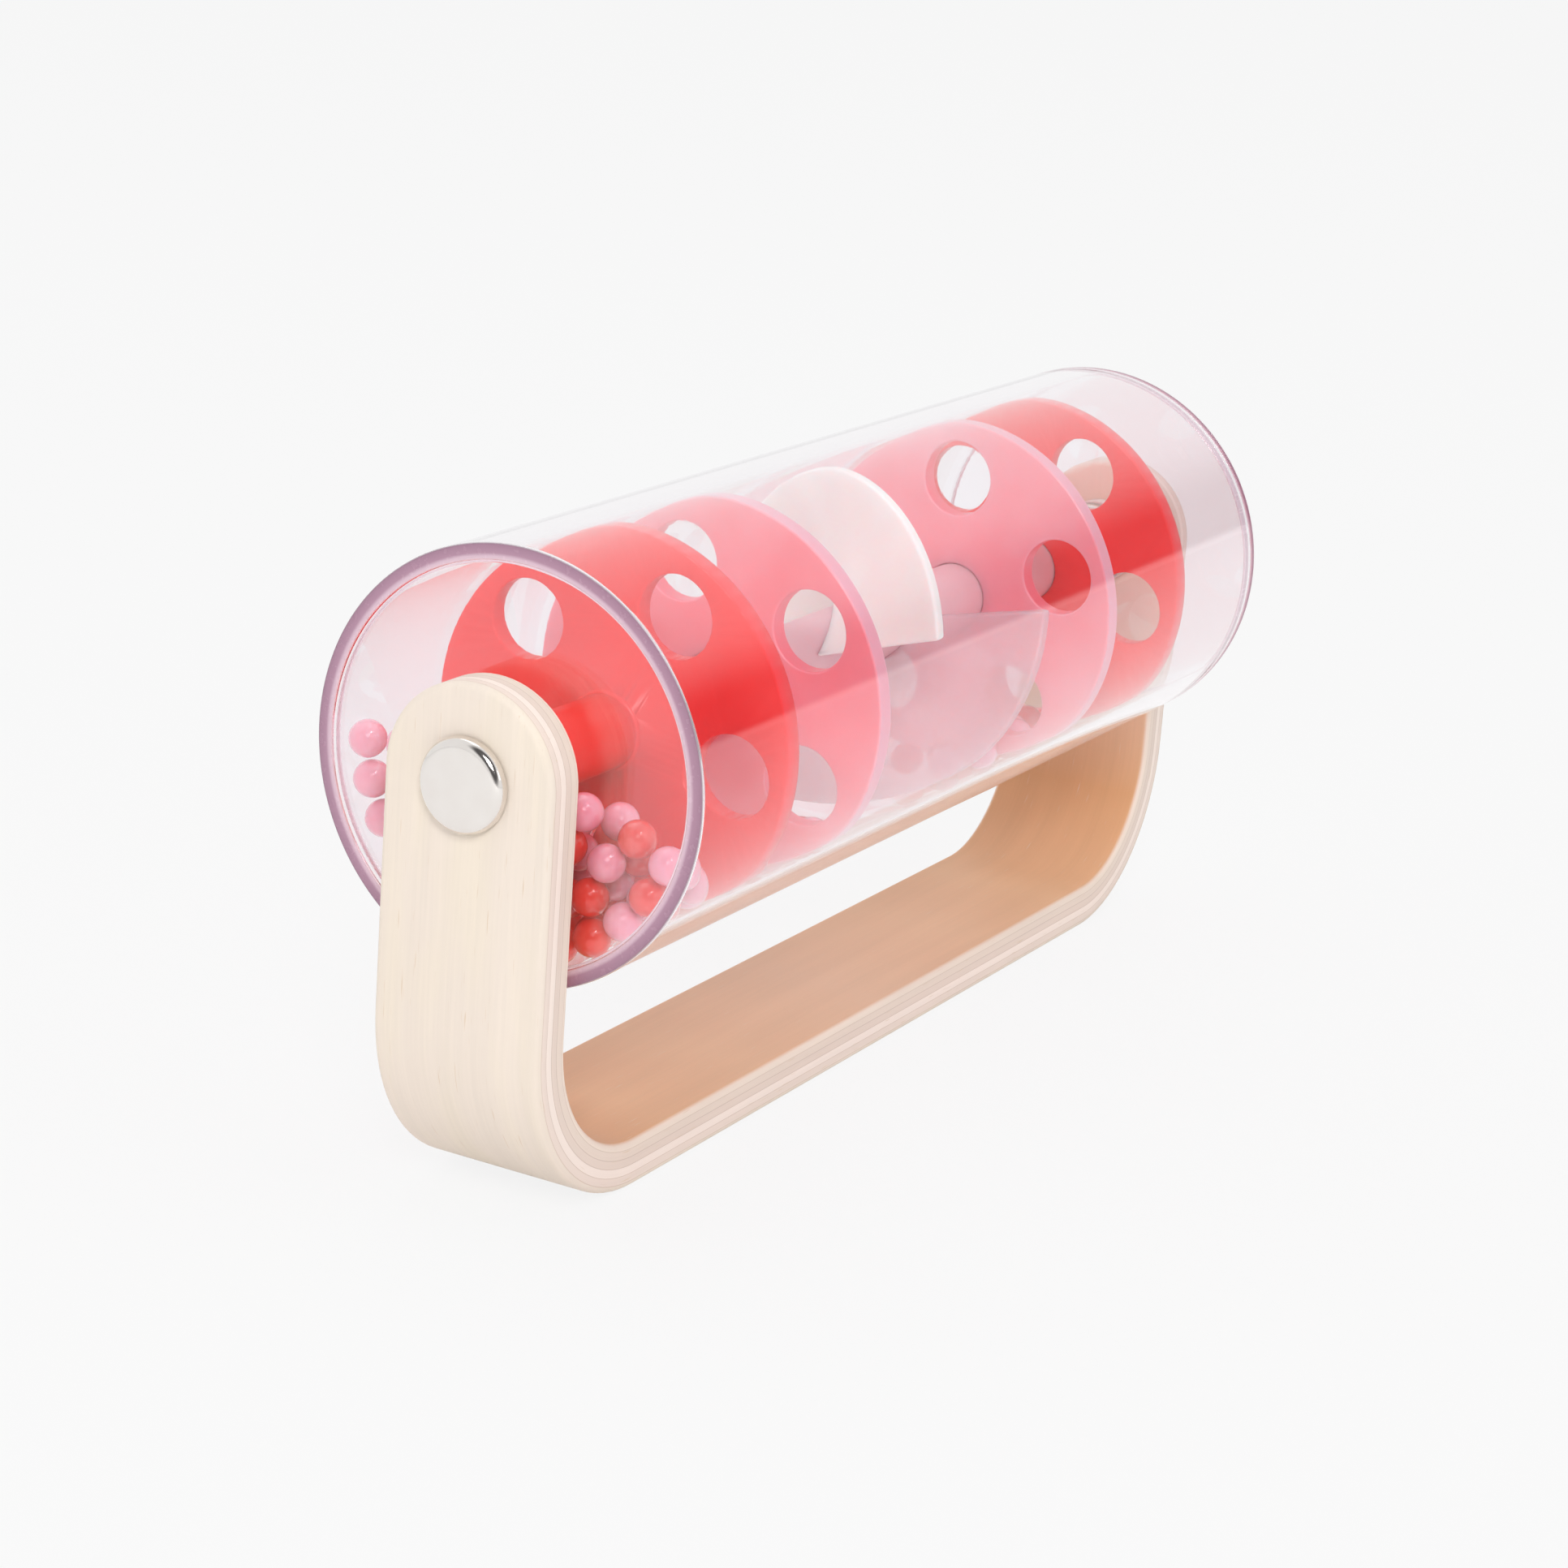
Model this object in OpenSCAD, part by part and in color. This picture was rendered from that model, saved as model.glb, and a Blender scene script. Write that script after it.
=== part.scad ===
// Rain stick for a small child: a clear tube of beads that turns on pivots in a bent plywood handle.
// The tube lies along X, the handle stands on its flat base at Z = 0, and the origin is under the middle.

/* [Clear tube] */
// Outer diameter of the clear tube
tube_d = 60; // [54:1:80]
// Wall of the clear tube
tube_wall = 2.4; // [1.6:0.1:4]
// Length of the clear tube
tube_len = 180; // [160:1:240]

/* [Handle] */
// Width of the bent plywood strip
strip_w = 26; // [20:1:34]
// Thickness of the bent plywood strip
strip_t = 7; // [5:0.5:9]
// Inner radius of the two bends
bend_r = 20; // [12:1:24]
// Rounding of the strip's edges
edge_r = 1; // [0.4:0.1:2]
// Gap for the fingers between the tube and the base of the strip
finger_gap = 24; // [20:1:40]
// Gap between a tube end and the leg beside it
leg_gap = 2; // [1:0.5:5]
// Height of the centre of a rounded leg end above the pivot
end_rise = 0.4; // [0:0.1:4]

/* [Pivots] */
// Diameter of the pivot pin's shank
pin_d = 5; // [4:0.5:7]
// Diameter of the pivot pin's head
pin_head_d = 13; // [10:0.5:16]
// Height of the pivot pin's head
pin_head_h = 2; // [1.4:0.1:3]
// Rounding of the pivot pin's head
pin_head_r = 1.1; // [0.4:0.1:1.3]
// Depth to which a pin is pressed into its hub
pin_grip = 14; // [8:1:15]
// Radial running clearance of a pin in its leg
pin_play = 0.06; // [0.02:0.01:0.1]
// Endways play of a leg between the pin's head and the washer
side_play = 0.2; // [0.1:0.05:0.4]
// Diameter of the spacer washers
washer_d = 14; // [10:0.5:18]

/* [End caps] */
// Thickness of the clear end caps
cap_t = 1.6; // [1.2:0.1:3]
// Depth of a cap's face below the tube's end
cap_inset = 0.6; // [0:0.1:3]
// Wall of the socket that holds a red hub
socket_wall = 1.5; // [1:0.1:3]
// Depth of the socket that holds a red hub
socket_depth = 4; // [2:0.5:8]

/* [Shaft and discs] */
// Diameter of the central shaft and of the red hubs at its ends
shaft_d = 10.5; // [10:0.5:14]
// Thickness of the pierced discs
disc_t = 3.2; // [1.6:0.1:4]
// Room between an end cap and the red disc beside it, and length of the red hub across it
end_room = 22.8; // [18:0.1:28]
// Room between a red disc and the pink disc beside it
disc_room = 22.8; // [12:0.1:26]
// Holes in each disc
hole_count = 5; // [3:1:6]
// Diameter of the holes
hole_d = 11.3; // [7:0.1:12]
// Width of disc left outside the holes
hole_rim = 2.55; // [1.5:0.05:5]
// Turn of the first hole of the red discs
red_turn = 47; // [0:1:72]
// Turn of the first hole of the near pink disc
near_pink_turn = 21; // [0:1:72]
// Turn of the first hole of the far pink disc
far_pink_turn = 4; // [0:1:72]

/* [Vanes] */
// Thickness of the two screw-shaped vanes, measured along the shaft
vane_t = 2; // [1.2:0.1:3]
// Distance of a vane's two straight ends from the middle
vane_x = 17; // [14:0.5:19]
// Angle that a vane sweeps round the shaft
vane_sweep = 176; // [120:1:178]
// Gap between the bore and a vane's outer edge
vane_gap = 1.9; // [0.5:0.1:4]
// Turn of the whole drum in its handle
drum_turn = 16; // [-90:1:90]

/* [Beads] */
// Diameter of the beads
bead_d = 5.3; // [4:0.1:6]
// Share of the near end room that beads fill
end_fill_ratio = 0.11; // [0.03:0.01:0.16]
// Share of the other rooms that beads fill
disc_fill_ratio = 0.01; // [0.004:0.001:0.04]
// Lean of the heap in the near end room, up the left wall
end_lean = 9; // [-20:1:20]
// Slope of that heap down from the end cap
end_slope = 30; // [0:1:45]
// Angle that the row of beads against that cap reaches, to each side of its middle
row_angle = 77; // [40:1:80]
// Lean of the heaps in the other rooms, up the right wall
disc_lean = 15; // [-40:1:40]

/* [Clearances] */
// Gap in the glued and pressed fits
glue_gap = 0.05; // [0.02:0.01:0.1]
// Gap between the bore and the edges of the discs
bore_gap = 0.7; // [0.2:0.05:1]
// Gap round each bead
bead_gap = 0.15; // [0.1:0.05:0.4]

/* [Hidden] */
$fn = 64;
bore_r = tube_d/2 - tube_wall;
tube_half = tube_len/2;
pivot_z = strip_t + finger_gap + tube_d/2;
leg_in = tube_half + leg_gap;
leg_out = leg_in + strip_t;
bend_x = leg_in - bend_r;
bend_z = strip_t + bend_r;
end_z = pivot_z + end_rise;
cap_in = tube_half - cap_inset - cap_t;
red_x = cap_in - end_room - disc_t/2;
pink_x = red_x - disc_t - disc_room;
disc_r = bore_r - bore_gap;
hole_ring_r = disc_r - hole_rim - hole_d/2;
shaft_r = shaft_d/2;
socket_r = shaft_r + glue_gap + socket_wall;
hub_len = cap_in - red_x;
vane_in_r = shaft_r + glue_gap;
vane_out_r = bore_r - vane_gap;
// Furthest reach of the vanes along the shaft
vane_foot = vane_x + vane_t/2;
// Steps round the shaft and out from it, for the twisted faces of a vane
vane_steps = 36;
vane_rings = 6;
// Larger than any piece, for cutting
far = 2*tube_len;

// Rooms along the tube that hold beads, each a list of these values in this order:
// its two ends, the radius taken round the axis, the share filled, the heap's lean and slope, a start number
X0 = 0;
X1 = 1;
TAKEN = 2;
FILL = 3;
LEAN = 4;
SLOPE = 5;
START = 6;
NEAR_END = [-cap_in, -red_x - disc_t/2, socket_r, end_fill_ratio, end_lean, end_slope, 0];
NEAR_DISCS = [-red_x + disc_t/2, -pink_x - disc_t/2, shaft_r, disc_fill_ratio, -disc_lean, 0, 400];
NEAR_VANE = [-pink_x + disc_t/2, -vane_foot, shaft_r, disc_fill_ratio, -disc_lean, 0, 500];
FAR_VANE = [vane_foot, pink_x - disc_t/2, shaft_r, disc_fill_ratio, -disc_lean, 0, 700];
FAR_DISCS = [pink_x + disc_t/2, red_x - disc_t/2, shaft_r, disc_fill_ratio, -disc_lean, 0, 800];

// A bead takes the deepest of this many trial places
bead_tries = 24;
bead_pitch = bead_d + bead_gap;
bead_margin = bead_d/2 + bead_gap;
bead_wall_r = bore_r - bead_margin;
// Colours of the row of beads against the near cap, from the left, before they repeat
row_colours = "PPPRPRRPRRPRP";
// Steps of an even, unrepeating spread of places over a room
along_ratio = 0.7548776662;
across_ratio = 0.5698402910;
colour_ratio = 0.6180339887;

// Colours of the materials
birch = [0.93, 0.86, 0.76];
clear = [0.92, 0.90, 0.94, 0.25];
steel = [0.80, 0.80, 0.82];
nylon = [0.94, 0.93, 0.90];
milky = [0.95, 0.87, 0.88];
red = [0.95, 0.25, 0.27];
pink = [0.95, 0.56, 0.63];
bead_pink = [0.97, 0.70, 0.77];
bead_red = [0.93, 0.22, 0.19];

// Lays a shape that was drawn along Z along the tube's axis
module along_tube() {
    translate([0, 0, pivot_z])
        rotate([0, 90, 0])
            children();
}

// Turns a shape round the tube's axis by the drum's turn in its handle
module in_drum() {
    translate([0, 0, pivot_z])
        rotate([-drum_turn, 0, 0])
            children();
}

// Section across the plywood strip, thickness in x and width in y, with rounded corners
module strip_section() {
    square([strip_t, strip_w - 2*edge_r], center = true);
    square([strip_t - 2*edge_r, strip_w], center = true);
    for (side = [-1, 1], end = [-1, 1])
        translate([side*(strip_t/2 - edge_r), end*(strip_w/2 - edge_r)])
            circle(edge_r);
}

// The half of the section that spins into a rounded leg end, radius in x and thickness in y
module end_section() {
    intersection() {
        rotate(90)
            strip_section();
        translate([0, -strip_t])
            square([strip_w, 2*strip_t]);
    }
}

// One bend, the leg above it and the leg's rounded end, on the +X side
module strip_side() {
    translate([bend_x, 0, bend_z])
        rotate([90, 0, 0])
            rotate(-90)
                rotate_extrude(angle = 90)
                    translate([bend_r + strip_t/2, 0])
                        strip_section();
    translate([leg_in + strip_t/2, 0, bend_z])
        linear_extrude(end_z - bend_z)
            strip_section();
    translate([leg_in + strip_t/2, 0, end_z])
        rotate([0, 90, 0])
            rotate(90)
                rotate_extrude(angle = 180)
                    end_section();
}

module bent_plywood_handle() {
    color(birch)
        difference() {
            union() {
                translate([-bend_x, 0, strip_t/2])
                    rotate([0, 90, 0])
                        linear_extrude(2*bend_x)
                            strip_section();
                strip_side();
                mirror([1, 0, 0])
                    strip_side();
            }
            along_tube()
                cylinder(d = pin_d + 2*pin_play, h = far, center = true);
        }
}

module clear_tube() {
    color(clear)
        along_tube()
            difference() {
                cylinder(d = tube_d, h = tube_len, center = true);
                cylinder(r = bore_r, h = far, center = true);
            }
}

// Plate that closes a tube end, with a socket for the red hub on its inner face
module end_cap() {
    color(clear)
        difference() {
            union() {
                translate([0, 0, cap_in])
                    cylinder(r = bore_r - glue_gap, h = cap_t);
                translate([0, 0, cap_in - socket_depth])
                    cylinder(r = socket_r, h = socket_depth);
            }
            translate([0, 0, cap_in - far])
                cylinder(r = shaft_r + glue_gap, h = far);
            cylinder(d = pin_d + 2*glue_gap, h = far);
        }
}

// Washer that keeps the cap and the tube's end off the leg
module spacer_washer() {
    color(nylon)
        translate([0, 0, cap_in + cap_t])
            difference() {
                cylinder(d = washer_d, h = leg_gap + cap_inset - side_play);
                cylinder(d = pin_d + 2*glue_gap, h = far, center = true);
            }
}

// Pin with a flat, round-edged head, pressed into a red hub
module pivot_pin() {
    head_z = leg_out + side_play;
    foot_z = cap_in - pin_grip;
    color(steel)
        rotate_extrude() {
            translate([0, foot_z])
                square([pin_d/2, head_z - foot_z]);
            translate([0, head_z])
                square([pin_head_d/2, pin_head_h - pin_head_r]);
            translate([0, head_z])
                square([pin_head_d/2 - pin_head_r, pin_head_h]);
            translate([pin_head_d/2 - pin_head_r, head_z + pin_head_h - pin_head_r])
                intersection() {
                    circle(pin_head_r);
                    square(pin_head_r);
                }
        }
}

// A piece of the far end, or its mirror image at the near end
module at_far_end() {
    along_tube()
        children();
}

module at_near_end() {
    mirror([1, 0, 0])
        along_tube()
            children();
}

module near_end_cap() { at_near_end() end_cap(); }
module far_end_cap() { at_far_end() end_cap(); }
module near_spacer_washer() { at_near_end() spacer_washer(); }
module far_spacer_washer() { at_far_end() spacer_washer(); }
module near_pivot_pin() { at_near_end() pivot_pin(); }
module far_pivot_pin() { at_far_end() pivot_pin(); }

// Plain rod between the seats of the two red discs
module central_shaft() {
    color(pink)
        along_tube()
            cylinder(r = shaft_r, h = 2*(red_x - glue_gap), center = true);
}

// Disc across the tube with a ring of holes that let the beads through
module pierced_disc(turn) {
    difference() {
        cylinder(r = disc_r, h = disc_t, center = true);
        for (i = [0:hole_count - 1])
            rotate(-90 - turn - i*360/hole_count)
                translate([hole_ring_r, 0, 0])
                    cylinder(d = hole_d, h = far, center = true);
    }
}

// Places a disc that was drawn across Z in the drum
module disc_at(x) {
    in_drum()
        translate([x, 0, 0])
            rotate([0, 90, 0])
                children();
}

// Disc that slides on to the shaft
module pink_disc(x, turn) {
    color(pink)
        disc_at(x)
            difference() {
                pierced_disc(turn);
                cylinder(r = shaft_r + glue_gap, h = far, center = true);
            }
}

// Disc with a blind seat for the shaft's end, and a hub on its outer side that holds the pin
module red_disc(side) {
    color(red)
        disc_at(side*red_x)
            difference() {
                union() {
                    pierced_disc(red_turn);
                    rotate([side < 0 ? 180 : 0, 0, 0])
                        cylinder(r = shaft_r, h = hub_len);
                }
                rotate([side < 0 ? 180 : 0, 0, 0]) {
                    translate([0, 0, -far])
                        cylinder(r = shaft_r + glue_gap, h = far);
                    translate([0, 0, hub_len - pin_grip])
                        cylinder(d = pin_d + 2*glue_gap, h = far);
                }
            }
}

module near_red_disc() { red_disc(-1); }
module near_pink_disc() { pink_disc(-pink_x, near_pink_turn); }
module far_pink_disc() { pink_disc(pink_x, far_pink_turn); }
module far_red_disc() { red_disc(1); }

// Corners of a vane: steps round the shaft, rings out from it, and its two sides
function vane_corner(i, k, side) = 2*(i*(vane_rings + 1) + k) + side;
vane_points = [for (i = [0:vane_steps], k = [0:vane_rings], side = [-1, 1])
    let (a = 90 + vane_sweep*(i/vane_steps - 0.5))
    let (r = vane_in_r + (vane_out_r - vane_in_r)*k/vane_rings)
    [vane_x*(2*i/vane_steps - 1) + side*vane_t/2, -r*cos(a), r*sin(a)]];

// Two triangles between four corners, and the same pair that faces the other way
function facing(a, b, c, d) = [[a, b, c], [a, c, d]];
function turned(a, b, c, d) = [[c, b, a], [d, c, a]];
function vane_side(i, k, side) = [vane_corner(i, k, side), vane_corner(i, k + 1, side),
    vane_corner(i + 1, k + 1, side), vane_corner(i + 1, k, side)];
function vane_rim(i, k) = [vane_corner(i, k, 0), vane_corner(i + 1, k, 0),
    vane_corner(i + 1, k, 1), vane_corner(i, k, 1)];
function vane_end(i, k) = [vane_corner(i, k, 0), vane_corner(i, k + 1, 0),
    vane_corner(i, k + 1, 1), vane_corner(i, k, 1)];
function facing_all(fours) = [for (q = fours) each facing(q[0], q[1], q[2], q[3])];
function turned_all(fours) = [for (q = fours) each turned(q[0], q[1], q[2], q[3])];
vane_faces = concat(
    facing_all([for (i = [0:vane_steps - 1], k = [0:vane_rings - 1]) vane_side(i, k, 1)]),
    turned_all([for (i = [0:vane_steps - 1], k = [0:vane_rings - 1]) vane_side(i, k, 0)]),
    facing_all([for (i = [0:vane_steps - 1]) vane_rim(i, vane_rings)]),
    turned_all([for (i = [0:vane_steps - 1]) vane_rim(i, 0)]),
    facing_all([for (k = [0:vane_rings - 1]) vane_end(0, k)]),
    turned_all([for (k = [0:vane_rings - 1]) vane_end(vane_steps, k)]));

// Screw flight of half a turn round the shaft, from the near side of the middle to the far side
module vane() {
    color(milky)
        polyhedron(vane_points, vane_faces);
}

module upper_vane() { in_drum() vane(); }
module lower_vane() { in_drum() rotate([180, 0, 0]) vane(); }

function part_of(v) = v - floor(v);
function room_volume(room) = PI*pow(bore_r, 2)*(room[X1] - room[X0]);
// Number of beads in a room, none where it is too narrow for one
function bead_count(room) = room[X1] - room[X0] < 2*bead_margin
    ? 0
    : floor(room[FILL]*room_volume(room)/(PI*pow(bead_d, 3)/6));

// Row of beads that lie against the near cap along the bore, from the left wall to the right
row_step_angle = 2*asin(bead_pitch/2/bead_wall_r);
row_last = floor(2*row_angle/row_step_angle);
row_pitch_angle = 2*row_angle/row_last;
cap_row = [for (i = [0:row_last])
    let (a = row_angle - i*row_pitch_angle)
    [NEAR_END[X0] + bead_margin, bead_wall_r*sin(a), -bead_wall_r*cos(a)]];
function is_pink(room, i) = room == NEAR_END && i <= row_last
    ? row_colours[i % len(row_colours)] == "P"
    : part_of(i*colour_ratio) < 0.5;

// The k-th trial place for the i-th bead of a room, seen from above
function spot(room, i, k) =
    let (n = room[START] + i*bead_tries + k + 1)
    let (span = room[X1] - room[X0] - 2*bead_margin)
    [room[X0] + bead_margin + span*part_of(n*along_ratio), bead_wall_r*(2*part_of(n*across_ratio) - 1)];

// Height at which a bead comes to rest there, on the bore or on the beads below it
function rest_z(s, heap) = max(concat([-sqrt(pow(bead_wall_r, 2) - pow(s[1], 2))],
    [for (b = heap)
        let (h = pow(bead_pitch, 2) - pow(s[0] - b[0], 2) - pow(s[1] - b[1], 2))
        if (h > 0) b[2] + sqrt(h)]));

// Places in the lower half of the bore that are clear of the shaft
function is_free(place, room) = place[2] < 0 && norm([place[1], place[2]]) > room[TAKEN] + bead_margin;

// The place that lies deepest under the heap's sloping top
function deepest(places, room) =
    let (depths = [for (p = places) p[2] + (p[0] - room[X0])*tan(room[SLOPE])])
    let (least = min(depths))
    [for (i = [0:len(places) - 1]) if (depths[i] == least) places[i]][0];

// Drops the beads of a room one by one, each into the deepest free place of its trials
function drop(room, heap) =
    len(heap) >= bead_count(room) ? heap : drop_next(room, heap, len(heap));
function drop_next(room, heap, i) =
    let (tried = [for (k = [0:bead_tries - 1])
        let (s = spot(room, i, k), place = [s[0], s[1], rest_z(s, heap)])
        if (is_free(place, room)) place])
    len(tried) == 0 ? heap : drop(room, concat(heap, [deepest(tried, room)]));

// Beads of one colour in one room, leaning up a wall with the rest of the heap
module beads(room, pink_ones, first = []) {
    heap = drop(room, first);
    color(pink_ones ? bead_pink : bead_red)
        translate([0, 0, pivot_z])
            rotate([room[LEAN], 0, 0])
                for (i = [0:1:len(heap) - 1])
                    if (is_pink(room, i) == pink_ones)
                        translate(heap[i])
                            sphere(d = bead_d);
}

module vane_beads(pink_ones) {
    beads(NEAR_VANE, pink_ones);
    beads(FAR_VANE, pink_ones);
}

module near_end_pink_beads() { beads(NEAR_END, true, cap_row); }
module near_end_red_beads() { beads(NEAR_END, false, cap_row); }
module near_disc_pink_beads() { beads(NEAR_DISCS, true); }
module near_disc_red_beads() { beads(NEAR_DISCS, false); }
module vane_pink_beads() { vane_beads(true); }
module vane_red_beads() { vane_beads(false); }
module far_disc_pink_beads() { beads(FAR_DISCS, true); }
module far_disc_red_beads() { beads(FAR_DISCS, false); }

bent_plywood_handle();
clear_tube();
near_end_cap();
far_end_cap();
near_spacer_washer();
far_spacer_washer();
near_pivot_pin();
far_pivot_pin();
central_shaft();
near_red_disc();
near_pink_disc();
far_pink_disc();
far_red_disc();
upper_vane();
lower_vane();
near_end_pink_beads();
near_end_red_beads();
near_disc_pink_beads();
near_disc_red_beads();
vane_pink_beads();
vane_red_beads();
far_disc_pink_beads();
far_disc_red_beads();
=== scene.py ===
# %% [markdown]
# # A rain stick, dressed in Blender
# A rain stick for a small child is a clear tube of beads that turns in a bent plywood handle.
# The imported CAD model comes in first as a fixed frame.
# It says where each piece is and which body it moves with.
# Every piece made below is placed in that same frame, in metres, so nothing has to be fitted by eye.

# %% Load the frame
import math

import bmesh
import bpy
import numpy as np
from mathutils import Matrix, Vector


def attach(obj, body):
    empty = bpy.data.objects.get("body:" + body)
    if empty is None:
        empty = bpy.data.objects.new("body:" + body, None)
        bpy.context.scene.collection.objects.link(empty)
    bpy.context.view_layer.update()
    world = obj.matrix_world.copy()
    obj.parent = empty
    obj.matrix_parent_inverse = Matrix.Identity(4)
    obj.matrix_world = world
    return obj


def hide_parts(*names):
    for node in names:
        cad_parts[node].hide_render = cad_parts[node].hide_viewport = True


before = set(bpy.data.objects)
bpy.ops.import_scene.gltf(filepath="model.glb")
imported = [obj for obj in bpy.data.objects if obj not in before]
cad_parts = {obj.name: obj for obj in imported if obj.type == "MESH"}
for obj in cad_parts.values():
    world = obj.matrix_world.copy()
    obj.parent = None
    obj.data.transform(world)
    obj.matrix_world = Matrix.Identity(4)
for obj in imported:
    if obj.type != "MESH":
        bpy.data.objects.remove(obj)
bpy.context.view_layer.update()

# %% [markdown]
# ## Sizes
# The sizes are the CAD model's own, in millimetres as a maker would list them.
# These few are shared by many steps. Every other size stands in the step that first needs it.
# X runs along the tube and Z is up. The end with the heap of beads, nearest to the camera, is on the -X side.

# %% Sizes in millimetres
MM = 0.001
TUBE_R, BORE_R, TUBE_HALF = 30.0, 27.6, 90.0
PIVOT_Z = 61.0
print("tube", 2 * TUBE_R, "mm across and", 2 * TUBE_HALF, "mm long")


# %% [markdown]
# ## Camera
# The photograph was taken from the near end, a little to the right of the tube and a little above it.
# The camera was fitted to the outlines of the tube and the handle, and the picture is slightly rolled.
# The lens is written as a focal length in pixels of the square picture.
# Blender takes it as millimetres of sensor.

# %% Camera
PICTURE, FOCAL_PIXELS, SENSOR = 1932, 4782.0, 36.0
azimuth, elevation, roll = (math.radians(a) for a in (-61.75, 16.61, 4.26))
aim, distance = Vector((47.45, 32.51, 21.1)) * MM, 648.24
level = math.cos(elevation)
back = Vector((math.sin(azimuth) * level, -math.cos(azimuth) * level, math.sin(elevation)))
camera = bpy.data.objects.new("camera", bpy.data.cameras.new("camera"))
bpy.context.scene.collection.objects.link(camera)
camera.data.sensor_width = SENSOR
camera.data.lens = FOCAL_PIXELS / PICTURE * SENSOR
camera.data.clip_start, camera.data.clip_end = 0.01, 50
camera.location = aim + back * distance * MM
camera.rotation_mode = "QUATERNION"
upright = (-back).to_track_quat("-Z", "Y")
camera.rotation_quaternion = upright @ Matrix.Rotation(roll, 3, "Z").to_quaternion()
bpy.context.scene.camera = camera
print("camera at", [round(v / MM, 1) for v in camera.location], "mm")
print("lens", round(camera.data.lens, 1), "mm")


# %% [markdown]
# ## Materials
# Colours are written as sRGB hex values, as read off a screen, and turned to the linear values of shaders.
# One small function adds any node: a plain value or a hex colour is set on its socket, and the output of
# another node is linked to it. It hands back the new node's first output, or the one that is asked for.
# A Mix node that mixes colours takes them on its inputs 6 and 7 and has the result on its output 2.
# A Map Range node takes a value on input 0, the span it comes from on 1 and 2, and the new span on 3 and 4,
# which is 0 to 1 where nothing else is set.

# %% Helpers for nodes
def linear(hex_colour):
    """An sRGB hex colour as linear red, green, blue and an alpha of 1."""
    parts = [int(hex_colour[i:i + 2], 16) / 255 for i in (1, 3, 5)]
    return [c / 12.92 if c <= 0.04045 else ((c + 0.055) / 1.055) ** 2.4 for c in parts] + [1.0]


def add(tree, kind, inputs=None, out=0, stops=(), **settings):
    """Adds a node with its settings, inputs and colour stops, and returns one of its outputs."""
    made = tree.nodes.new(kind)
    for name, value in settings.items():
        setattr(made, name, value)
    for name, value in (inputs or {}).items():
        if isinstance(value, bpy.types.NodeSocket):
            tree.links.new(value, made.inputs[name])
        else:
            made.inputs[name].default_value = linear(value) if isinstance(value, str) else value
    for i, (place, shade) in enumerate(stops):
        elements = made.color_ramp.elements
        stop = elements[i] if i < 2 else elements.new(place)
        stop.position = place
        stop.color = linear(shade)
    return made.outputs[out] if len(made.outputs) else None


print("helpers ready; mid grey in linear light is", round(linear("#808080")[0], 3))

# %% [markdown]
# A surface needs to know where it is. Patterns are sized in millimetres along X, Y and Z,
# and much on this toy depends on the distance from the tube's axis.

# %% Helpers for materials
def new_material(name):
    """A material with an empty node tree."""
    made = bpy.data.materials.new(name)
    made.use_nodes = True
    made.node_tree.nodes.clear()
    return made, made.node_tree


def per(*sizes_mm):
    """The scales of a pattern whose features have these sizes in millimetres."""
    return [1 / (size * MM) for size in sizes_mm]


def axis_distance(tree, place):
    """The distance of a point from the tube's axis."""
    centred = add(tree, "ShaderNodeMapping", {"Vector": place, "Location": (0, 0, -PIVOT_Z * MM)})
    across = add(tree, "ShaderNodeVectorMath", {0: centred, 1: (0, 1, 1)}, operation="MULTIPLY")
    return add(tree, "ShaderNodeVectorMath", {0: across}, "Value", operation="LENGTH")


print("a pattern of 2 mm has a scale of", per(2)[0])


# %% [markdown]
# ### Birch plywood
# The handle is birch veneer, glued in layers in a bending mould, then sanded and given a thin matt lacquer.
# The eye sees pale faces with fine fibres along the strip and soft creamy clouds.
# On the narrow sides it sees the layers with their glue lines. The inner face is painted tan, which stands
# for shade under the tube and red-pink light from the drum.
# The mesh carries an attribute named strip: the place along, across and through the strip in metres.
# So the fibres follow the bends without a break, and the layers come from the depth alone.
# A second attribute, edge, is the distance to the strip's outline, which keeps the painted tan off the sides.
# Real fibres are too fine to show in the picture, so they are drawn about half a millimetre wide.

# %% Birch plywood: patterns
birch, tree = new_material("birch_plywood")
strip = add(tree, "ShaderNodeAttribute", out="Vector", attribute_name="strip")
to_edge = add(tree, "ShaderNodeAttribute", out="Fac", attribute_name="edge")
strip_parts = add(tree, "ShaderNodeSeparateXYZ", {0: strip}).node.outputs
depth = strip_parts["Z"]
run = add(tree, "ShaderNodeMath", {0: strip_parts["X"]}, operation="ABSOLUTE")
patterns = {}
for name, sizes_mm, detail in (("fibres", (16, 0.45, 0.45), 4.0), ("bands", (80, 4.5, 4.5), 2.0),
                               ("clouds", (24, 6, 6), 3.0), ("flecks", (5, 0.3, 0.3), 1.0)):
    spread = add(tree, "ShaderNodeMapping", {"Vector": strip, "Scale": per(*sizes_mm)})
    patterns[name] = add(tree, "ShaderNodeTexNoise",
                         {"Vector": spread, "Scale": 1.0, "Detail": detail}, "Fac")
print("birch plywood has", ", ".join(patterns))
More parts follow.
